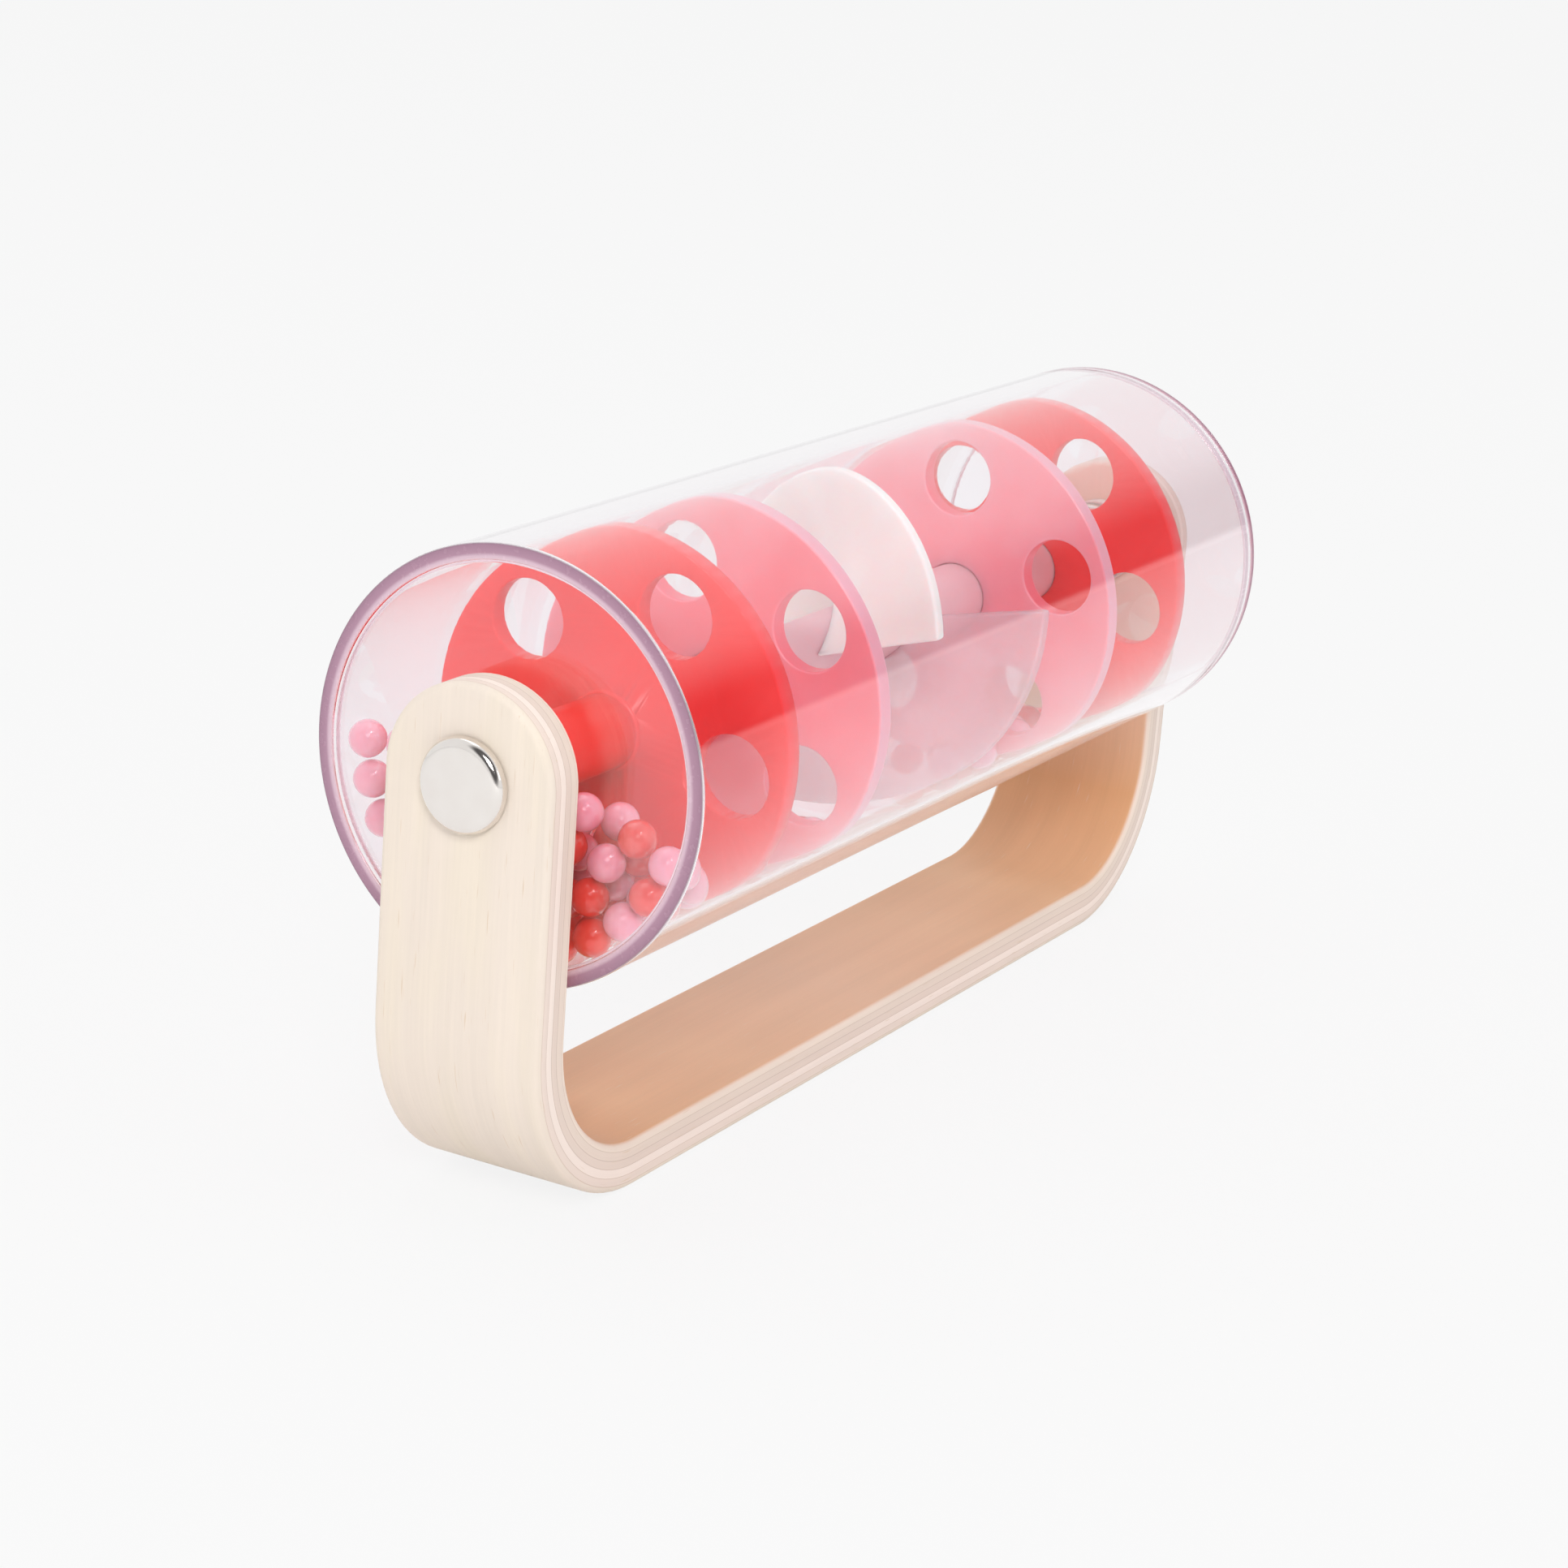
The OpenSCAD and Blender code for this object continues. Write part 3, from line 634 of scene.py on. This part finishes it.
# %% End caps, washers and pins
SMALL_EASE, GLUE_GAP, SIDE_PLAY = 0.3, 0.05, 0.2
PIN_HOLE_R = PIN_R + GLUE_GAP
SHAFT_R = 5.25
CAP_OUT, CAP_IN, SOCKET_R, SOCKET_DEPTH = 89.4, 87.8, 6.8, 4.0
cap_corners = [(CAP_OUT, PIN_HOLE_R), (CAP_OUT, CAP_R), (CAP_IN, CAP_R), (CAP_IN, SOCKET_R),
               (CAP_IN - SOCKET_DEPTH, SOCKET_R), (CAP_IN - SOCKET_DEPTH, SHAFT_R + GLUE_GAP),
               (CAP_IN, SHAFT_R + GLUE_GAP), (CAP_IN, PIN_HOLE_R)]
WASHER_R = 7.0
washer_corners = [(CAP_OUT, PIN_HOLE_R), (CAP_OUT, WASHER_R), (LEG_IN - SIDE_PLAY, WASHER_R),
                  (LEG_IN - SIDE_PLAY, PIN_HOLE_R)]
PIN_HEAD_R, PIN_HEAD_H, PIN_FOOT = 6.5, 2.0, 73.8
HEAD_EASE, HEAD_CROWN, HEAD_FOOT, PIN_CHAMFER = 1.35, 0.12, 0.2, 0.5
head_x = LEG_IN + STRIP_T + SIDE_PLAY
head_top, head_flat = head_x + PIN_HEAD_H, PIN_HEAD_R - HEAD_EASE
head_arc = [(head_top - HEAD_CROWN - HEAD_EASE * (1 - math.sin(t)), head_flat + HEAD_EASE * math.cos(t))
            for t in arc_turns]
crown = [(head_top - HEAD_CROWN * share ** 2, head_flat * share) for share in (0.9, 0.6, 0.3)]
shank = [(PIN_FOOT, 0), (PIN_FOOT, PIN_R - PIN_CHAMFER), (PIN_FOOT + PIN_CHAMFER, PIN_R), (head_x, PIN_R)]
head_foot = [(head_x, PIN_HEAD_R - HEAD_FOOT), (head_x + HEAD_FOOT, PIN_HEAD_R)]
pin_section = shank + head_foot + head_arc + crown + [(head_top, 0)]
for end, sign in (("far", 1), ("near", -1)):
    for kind, section, closed, material, node, slot in (
            ("end_cap", eased(cap_corners, SMALL_EASE), True, polystyrene, "end_cap", "clear_acrylic"),
            ("washer", eased(washer_corners, SMALL_EASE), True, nylon, "spacer_washer", "nylon"),
            ("pin", pin_section, False, steel, "pivot_pin", "polished_steel")):
        mesh = turned(f"{end}_{kind}", [(sign * x, r) for x, r in section], closed)
        new_piece(f"{end}_{kind}", mesh, material, "drum", f"{end}_{node}")
        print(end, kind, len(mesh.polygons), "faces")

# %% [markdown]
# The shaft is one plain rod. Its ends are slightly eased and sit in shallow seats in the two red discs.

# %% Shaft
RED_X = 63.4
SHAFT_END = RED_X - GLUE_GAP
shaft_corners = [(-SHAFT_END, 0), (-SHAFT_END, SHAFT_R), (SHAFT_END, SHAFT_R), (SHAFT_END, 0)]
shaft_mesh = turned("shaft", eased(shaft_corners, SMALL_EASE, closed=False), closed=False)
new_piece("shaft", shaft_mesh, shaft_plastic, "drum", "central_shaft")
print("shaft:", 2 * SHAFT_END, "mm long")


# %% [markdown]
# ## Pierced discs
# Four moulded discs sit on the shaft. Each has a ring of five holes that let a few beads through at a time.
# What repeats is a job for Geometry Nodes: circles on the points of a larger circle are the holes,
# Fill Curve leaves them open, and an extrusion gives the thickness.
# A Bevel modifier then rounds every rim, as the mould does, and the result is made a plain mesh.

# %% Geometry Nodes for a pierced disc
def node_tree(name, inputs):
    """A geometry node tree with these named inputs, its input node and the identifiers of the inputs."""
    tree = bpy.data.node_groups.new(name, "GeometryNodeTree")
    tree.interface.new_socket("Geometry", in_out="OUTPUT", socket_type="NodeSocketGeometry")
    named = {label: tree.interface.new_socket(label, in_out="INPUT", socket_type=kind).identifier
             for label, kind in inputs.items()}
    return tree, tree.nodes.new("NodeGroupInput").outputs, named


REAL, WHOLE, SURFACE = "NodeSocketFloat", "NodeSocketInt", "NodeSocketMaterial"
disc_tree, given, disc_inputs = node_tree("pierced_disc", {
    "Radius": REAL, "Thickness": REAL, "Shaft Radius": REAL, "Holes": WHOLE, "Hole Radius": REAL,
    "Ring Radius": REAL, "Turn": REAL, "Material": SURFACE})
ring_points = add(disc_tree, "GeometryNodeMeshCircle",
                  {"Vertices": given["Holes"], "Radius": given["Ring Radius"]})
turn_by = add(disc_tree, "ShaderNodeCombineXYZ", {"Z": given["Turn"]})
turned_points = add(disc_tree, "GeometryNodeTransform", {"Geometry": ring_points, "Rotation": turn_by})
edge_circle, seat_circle, hole_circle = (
    add(disc_tree, "GeometryNodeCurvePrimitiveCircle", {"Resolution": corners, "Radius": given[label]})
    for label, corners in (("Radius", 160), ("Shaft Radius", 64), ("Hole Radius", 64)))
holes = add(disc_tree, "GeometryNodeInstanceOnPoints", {"Points": turned_points, "Instance": hole_circle})
real_holes = add(disc_tree, "GeometryNodeRealizeInstances", {0: holes})
outlines = add(disc_tree, "GeometryNodeJoinGeometry")
for curve in (edge_circle, seat_circle, real_holes):
    disc_tree.links.new(curve, outlines.node.inputs[0])
print("pierced disc tree:", len(disc_tree.nodes), "nodes for the outlines, inputs", list(disc_inputs))

# %% [markdown]
# The filled outlines are one face of the disc. The extrusion raises the other face and the walls,
# the first face is turned round to look outwards, and both are merged into a closed shell.

# %% Give the disc its thickness
WELD = 0.001 * MM
sheet = add(disc_tree, "GeometryNodeFillCurve", {0: outlines})
raised = add(disc_tree, "GeometryNodeExtrudeMesh", {
    "Mesh": sheet, "Offset Scale": given["Thickness"], "Individual": False})
shell = add(disc_tree, "GeometryNodeJoinGeometry")
for part in (add(disc_tree, "GeometryNodeFlipFaces", {0: sheet}), raised):
    disc_tree.links.new(part, shell.node.inputs[0])
closed_shell = add(disc_tree, "GeometryNodeMergeByDistance", {"Geometry": shell, "Distance": WELD})
half_down = add(disc_tree, "ShaderNodeMath", {0: given["Thickness"], 1: -0.5}, operation="MULTIPLY")
centring = add(disc_tree, "ShaderNodeCombineXYZ", {"Z": half_down})
centred = add(disc_tree, "GeometryNodeTransform", {"Geometry": closed_shell, "Translation": centring})
made_real = add(disc_tree, "GeometryNodeRealizeInstances", {0: centred})
dressed = add(disc_tree, "GeometryNodeSetMaterial", {"Geometry": made_real, "Material": given["Material"]})
add(disc_tree, "NodeGroupOutput", {0: dressed})
print("pierced disc tree:", len(disc_tree.nodes), "nodes in all")

# %% [markdown]
# A disc is drawn flat, with its first hole turned up from the tube's right side, and set across the tube.
# Each red disc is moulded in one with a hub that reaches to the end cap and holds the pin.
# The hub is turned like the other round pieces, with a small fillet at its foot, and a Boolean
# modifier makes it one solid with its disc.

# %% Make the discs
def grown_mesh(name, seed_mesh, tree, named, values, bevel_mm=0.0):
    """The plain mesh that a geometry node tree makes from a seed mesh, with its rims rounded by bevel_mm."""
    holder = loose_object(name + "_seed", seed_mesh)
    maker = holder.modifiers.new(tree.name, "NODES")
    maker.node_group = tree
    for label, value in values.items():
        maker[named[label]] = value
    if bevel_mm:
        bevel = holder.modifiers.new("rounded_rims", "BEVEL")
        bevel.width, bevel.segments = bevel_mm * MM, 3
        bevel.limit_method, bevel.angle_limit = "ANGLE", SHARP
        bevel.harden_normals = True
    return evaluated_mesh(holder, name)


DISC_T, HOLE_COUNT, HOLE_R, HOLE_RING_R = 3.2, 5, 5.65, 18.7
PINK_X, DISC_EASE = 37.4, 0.35
RED_TURN, NEAR_PINK_TURN, FAR_PINK_TURN, DRUM_TURN = (math.radians(a) for a in (47, 21, 4, 16))
FILLET, HUB_OVERLAP = 0.6, 0.1
hub_foot = RED_X + DISC_T / 2
fillet = [(hub_foot + FILLET * (1 - math.cos(t)), SHAFT_R + FILLET * (1 - math.sin(t))) for t in arc_turns]
hub_root = [(RED_X, 0), (RED_X, SHAFT_R + FILLET), (hub_foot - HUB_OVERLAP, SHAFT_R + FILLET)]
hub_end = [(CAP_IN - SMALL_EASE, SHAFT_R), (CAP_IN, SHAFT_R - SMALL_EASE), (CAP_IN, PIN_HOLE_R)]
hub_section = hub_root + fillet + hub_end + [(PIN_FOOT, PIN_HOLE_R), (PIN_FOOT, 0)]
across_tube = Matrix(((0, 0, -1, 0), (-1, 0, 0, 0), (0, 1, 0, 0), (0, 0, 0, 1)))
for name, x, first_hole, material, slot in (
        ("near_red_disc", -RED_X, RED_TURN, red_plastic, "red_plastic"),
        ("near_pink_disc", -PINK_X, NEAR_PINK_TURN, pink_plastic, "pink_plastic"),
        ("far_pink_disc", PINK_X, FAR_PINK_TURN, pink_plastic, "pink_plastic"),
        ("far_red_disc", RED_X, RED_TURN, red_plastic, "red_plastic")):
    values = {"Radius": DISC_R * MM, "Thickness": DISC_T * MM, "Shaft Radius": (SHAFT_R + GLUE_GAP) * MM,
              "Holes": HOLE_COUNT, "Hole Radius": HOLE_R * MM, "Ring Radius": HOLE_RING_R * MM,
              "Turn": first_hole + DRUM_TURN, "Material": material}
    mesh = grown_mesh(name, bpy.data.meshes.new(name + "_seed"), disc_tree, disc_inputs, values, DISC_EASE)
    mesh.transform(Matrix.Translation((x * MM, 0, PIVOT_Z * MM)) @ across_tube)
    if material is red_plastic:
        section = [(math.copysign(along, x), r) for along, r in hub_section]
        mesh = combined(name, mesh, turned(name + "_hub", section, closed=False, segments=96), "UNION")
    new_piece(name + "_moulding", mesh, material, "drum", name)
    print(name, len(mesh.polygons), "faces")


# %% [markdown]
# ## Vanes
# Two vanes run round the shaft between the pink discs like the flights of a screw, half a turn each,
# and carry the beads along as the tube turns. A Screw modifier could sweep one, but would leave its ends
# sharp. So a small rectangle with eased corners is swept here by its own sum: its place along the shaft grows
# with the turn. At each end the rectangle shrinks over a quarter circle, which rounds it as a mould does.

# %% Make the vanes
VANE_X, VANE_T, VANE_R, VANE_EASE = 17.0, 2.0, 25.7, 0.45
VANE_SWEEP = math.radians(176)


def vane_section(inset):
    """Corners of a vane's section, as distance along the shaft and radius, drawn in by inset."""
    half, inner, outer = VANE_T / 2 - inset, SHAFT_R + GLUE_GAP + inset, VANE_R - inset
    rungs = np.linspace(inner, outer, 9)[1:-1]
    corners = eased([(-half, inner), (-half, outer), (half, outer), (half, inner)], VANE_EASE)
    per_corner = len(corners) // 4
    return (corners[:per_corner] + [(-half, r) for r in rungs] + corners[per_corner:3 * per_corner]
            + [(half, r) for r in rungs[::-1]] + corners[3 * per_corner:])


vane_start = (math.pi - VANE_SWEEP) / 2
vane_stop = vane_start + VANE_SWEEP
end_steps = [(VANE_EASE * (1 - math.sin(t)), VANE_EASE * (1 - math.cos(t))) for t in arc_turns[::-1]]
stations = ([(vane_start, back, inset) for back, inset in end_steps]
            + [(a, 0, 0) for a in np.linspace(vane_start, vane_stop, 91)[2:-2]]
            + [(vane_stop, -back, inset) for back, inset in end_steps[::-1]])
swept = []
for angle, back, inset in stations:
    for along, r in vane_section(inset):
        a = angle + back / r
        x = VANE_X * (2 * (a - vane_start) / VANE_SWEEP - 1) + along
        swept.append((x, -r * math.cos(a), r * math.sin(a)))
ring = len(vane_section(0))
end_faces = [tuple(range(ring)), tuple(range(len(swept) - 1, len(swept) - ring - 1, -1))]
faces = ring_faces(len(stations), ring) + end_faces
in_drum = Matrix.Translation((0, 0, PIVOT_Z * MM)) @ Matrix.Rotation(-DRUM_TURN, 4, "X")
for name, turn, plastic in (("upper_vane", 0, white_vane), ("lower_vane", math.pi, vane_with_painted_shade)):
    mesh = solid_mesh(name, swept, faces)
    mesh.transform(in_drum @ Matrix.Rotation(turn, 4, "X"))
    new_piece(name + "_moulding", mesh, plastic, "drum", name)
    print(name, len(mesh.polygons), "faces")


# %% [markdown]
# ## Beads
# The beads are small moulded balls that lie loose in the tube. The CAD model has already dropped them, so
# their centres are read from its bead nodes: each ball there is an island of joined triangles.

# %% Read the bead centres
def island_centres(mesh):
    """The middle of the box round each separate island of a mesh."""
    form = bmesh.new()
    form.from_mesh(mesh)
    bmesh.ops.remove_doubles(form, verts=form.verts, dist=0.002 * MM)
    left, centres = set(form.verts), []
    while left:
        queue, island = [left.pop()], []
        while queue:
            vert = queue.pop()
            island.append(vert.co.copy())
            neighbours = {e.other_vert(vert) for e in vert.link_edges} & left
            left -= neighbours
            queue += neighbours
        spots = np.array(island)
        centres.append((spots.min(0) + spots.max(0)) / 2)
    form.free()
    return sorted(map(tuple, centres))


bead_nodes = [name for name in sorted(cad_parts) if name.endswith("_beads")]
bead_centres = {name: island_centres(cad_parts[name].data) for name in bead_nodes}
print("beads:", sum(map(len, bead_centres.values())), "in", len(bead_nodes), "nodes")

# %% [markdown]
# Geometry Nodes put one smooth ball on each centre. The balls are turned at random with a fixed seed,
# so that their facets don't line up.

# %% Geometry Nodes for beads
BEAD_R = 2.65
bead_tree, given, bead_inputs = node_tree("loose_beads", {
    "Centres": "NodeSocketGeometry", "Bead Radius": REAL, "Seed": WHOLE, "Material": SURFACE})
ball = add(bead_tree, "GeometryNodeMeshUVSphere",
           {"Segments": 28, "Rings": 18, "Radius": given["Bead Radius"]})
any_turn = add(bead_tree, "FunctionNodeRandomValue",
               {0: (0, 0, 0), 1: (math.tau,) * 3, "Seed": given["Seed"]}, data_type="FLOAT_VECTOR")
placed = add(bead_tree, "GeometryNodeInstanceOnPoints", {
    "Points": given["Centres"], "Instance": ball, "Rotation": any_turn})
real_beads = add(bead_tree, "GeometryNodeRealizeInstances", {0: placed})
smooth_beads = add(bead_tree, "GeometryNodeSetShadeSmooth", {0: real_beads})
dressed = add(bead_tree, "GeometryNodeSetMaterial", {"Geometry": smooth_beads, "Material": given["Material"]})
add(bead_tree, "NodeGroupOutput", {0: dressed})
for seed, (node, centres) in enumerate(bead_centres.items()):
    centre_mesh = bpy.data.meshes.new(node + "_centres")
    centre_mesh.from_pydata(centres, [], [])
    plastic, slot = (pink_bead, "pink_beads") if "pink" in node else (red_bead, "red_beads")
    values = {"Bead Radius": BEAD_R * MM, "Seed": seed, "Material": plastic}
    mesh = grown_mesh(node, centre_mesh, bead_tree, bead_inputs, values)
    new_piece(node + "_balls", mesh, plastic, "beads", node)
    print(node, len(mesh.polygons), "faces")


# %% [markdown]
# ## Floor, room and lamps
# The photograph has an even, nearly white background, so the toy stands on a wide pale floor.
# Camera rays and rays through glass see the floor mostly at that pale tone, and mirror rays see it partly so.
# The rest of it is lit as any floor is, and keeps the soft shadow.

# %% Floor
EVEN_STRAIGHT, EVEN_MIRRORED = 0.92, 0.4
pale_floor, tree = new_material("pale_floor")
ray = add(tree, "ShaderNodeLightPath").node.outputs
straight = add(tree, "ShaderNodeMath", {0: ray["Is Camera Ray"], 1: ray["Is Transmission Ray"]},
               operation="MAXIMUM")
straight_share = add(tree, "ShaderNodeMath", {0: straight, 1: EVEN_STRAIGHT}, operation="MULTIPLY")
mirror_share = add(tree, "ShaderNodeMath", {0: ray["Is Glossy Ray"], 1: EVEN_MIRRORED}, operation="MULTIPLY")
even_share = add(tree, "ShaderNodeMath", {0: straight_share, 1: mirror_share}, operation="MAXIMUM")
lit = add(tree, "ShaderNodeBsdfDiffuse", {0: "#fafafa"})
even = add(tree, "ShaderNodeEmission", {0: "#f8f8f8", 1: 1.0})
floor_surface = add(tree, "ShaderNodeMixShader", {0: even_share, 1: lit, 2: even})
add(tree, "ShaderNodeOutputMaterial", {0: floor_surface})
FLOOR_HALF = 8.0
floor_corners = [(x * FLOOR_HALF, y * FLOOR_HALF, 0) for x, y in ((-1, -1), (1, -1), (1, 1), (-1, 1))]
floor_mesh = bpy.data.meshes.new("floor")
floor_mesh.from_pydata(floor_corners, [], [(0, 1, 2, 3)])
floor_mesh.materials.append(pale_floor)
floor = loose_object("floor", floor_mesh)
print("floor:", 2 * FLOOR_HALF, "m square")

# %% [markdown]
# The room is white, but for two places. Low on the right, beyond the far end, is a grey strip that fades
# upwards. The clear tube mirrors it along its middle, where the colours inside look strongest, between two
# paler veils. Round the key lamp the room is dim, so the pin heads show a dark edge beside a bright one.

# %% Room
KEY_SPOT, ROOM_STRENGTH = Vector((-1.0, -0.6, 0.9)), 0.97
room = bpy.data.worlds.new("white_room")
room.use_nodes = True
bpy.context.scene.world = room
tree = room.node_tree
tree.nodes.clear()
way = add(tree, "ShaderNodeTexCoord", out="Generated")
looking = add(tree, "ShaderNodeSeparateXYZ", {0: way}).node.outputs
towards_right = add(tree, "ShaderNodeMath", {0: looking["Y"], 1: -1.0}, operation="MULTIPLY")
bearing = add(tree, "ShaderNodeMath", {0: towards_right, 1: looking["X"]}, operation="ARCTAN2")
strip_edges = [(bearing, math.radians(-5), math.radians(15)), (bearing, math.radians(55), math.radians(40)),
               (looking["Z"], 0.0, 0.04), (looking["Z"], 0.48, 0.2)]
grey_share = 1.0
for reading, start, stop in strip_edges:
    inward = add(tree, "ShaderNodeMapRange", {0: reading, 1: start, 2: stop}, interpolation_type="SMOOTHSTEP")
    grey_share = add(tree, "ShaderNodeMath", {0: grey_share, 1: inward}, operation="MULTIPLY")
towards_key = add(tree, "ShaderNodeVectorMath", {0: way, 1: KEY_SPOT.normalized()}, "Value",
                  operation="DOT_PRODUCT")
dim_share = add(tree, "ShaderNodeMapRange", {0: towards_key, 1: 0.68, 2: 0.88},
                interpolation_type="SMOOTHSTEP")
walls = add(tree, "ShaderNodeMix", {0: grey_share, 6: "#fbfbfb", 7: "#868485"}, 2, data_type="RGBA")
room_colour = add(tree, "ShaderNodeMix", {0: dim_share, 6: walls, 7: "#5a5859"}, 2, data_type="RGBA")
shining = add(tree, "ShaderNodeBackground", {0: room_colour, 1: ROOM_STRENGTH})
add(tree, "ShaderNodeOutputWorld", {0: shining})
print("room:", len(tree.nodes), "nodes")

# %% [markdown]
# Three soft area lamps stand round the toy and point at its middle. The key lamp, on the left,
# gives most of the light, and the other two are only weak fills from above and from the right.

# %% Lamps
LAMP_AIM = Vector((0, 0, 0.05))
for name, spot, size, watts in (("key_lamp", KEY_SPOT, 0.5, 10.0), ("top_lamp", (0.2, 0.3, 1.3), 0.8, 1.6),
                                ("side_lamp", (-0.2, -1.3, 0.6), 0.45, 0.4)):
    lamp = bpy.data.lights.new(name, "AREA")
    lamp.size, lamp.energy = size, watts
    holder = loose_object(name, lamp)
    holder.location = spot
    holder.rotation_euler = (LAMP_AIM - Vector(spot)).to_track_quat("-Z", "Y").to_euler()
    print(name, watts, "W")

# %% [markdown]
# ## Finish
# The colours are shown through the Standard view transform.

# %% View transform
bpy.context.scene.view_settings.view_transform = "Standard"
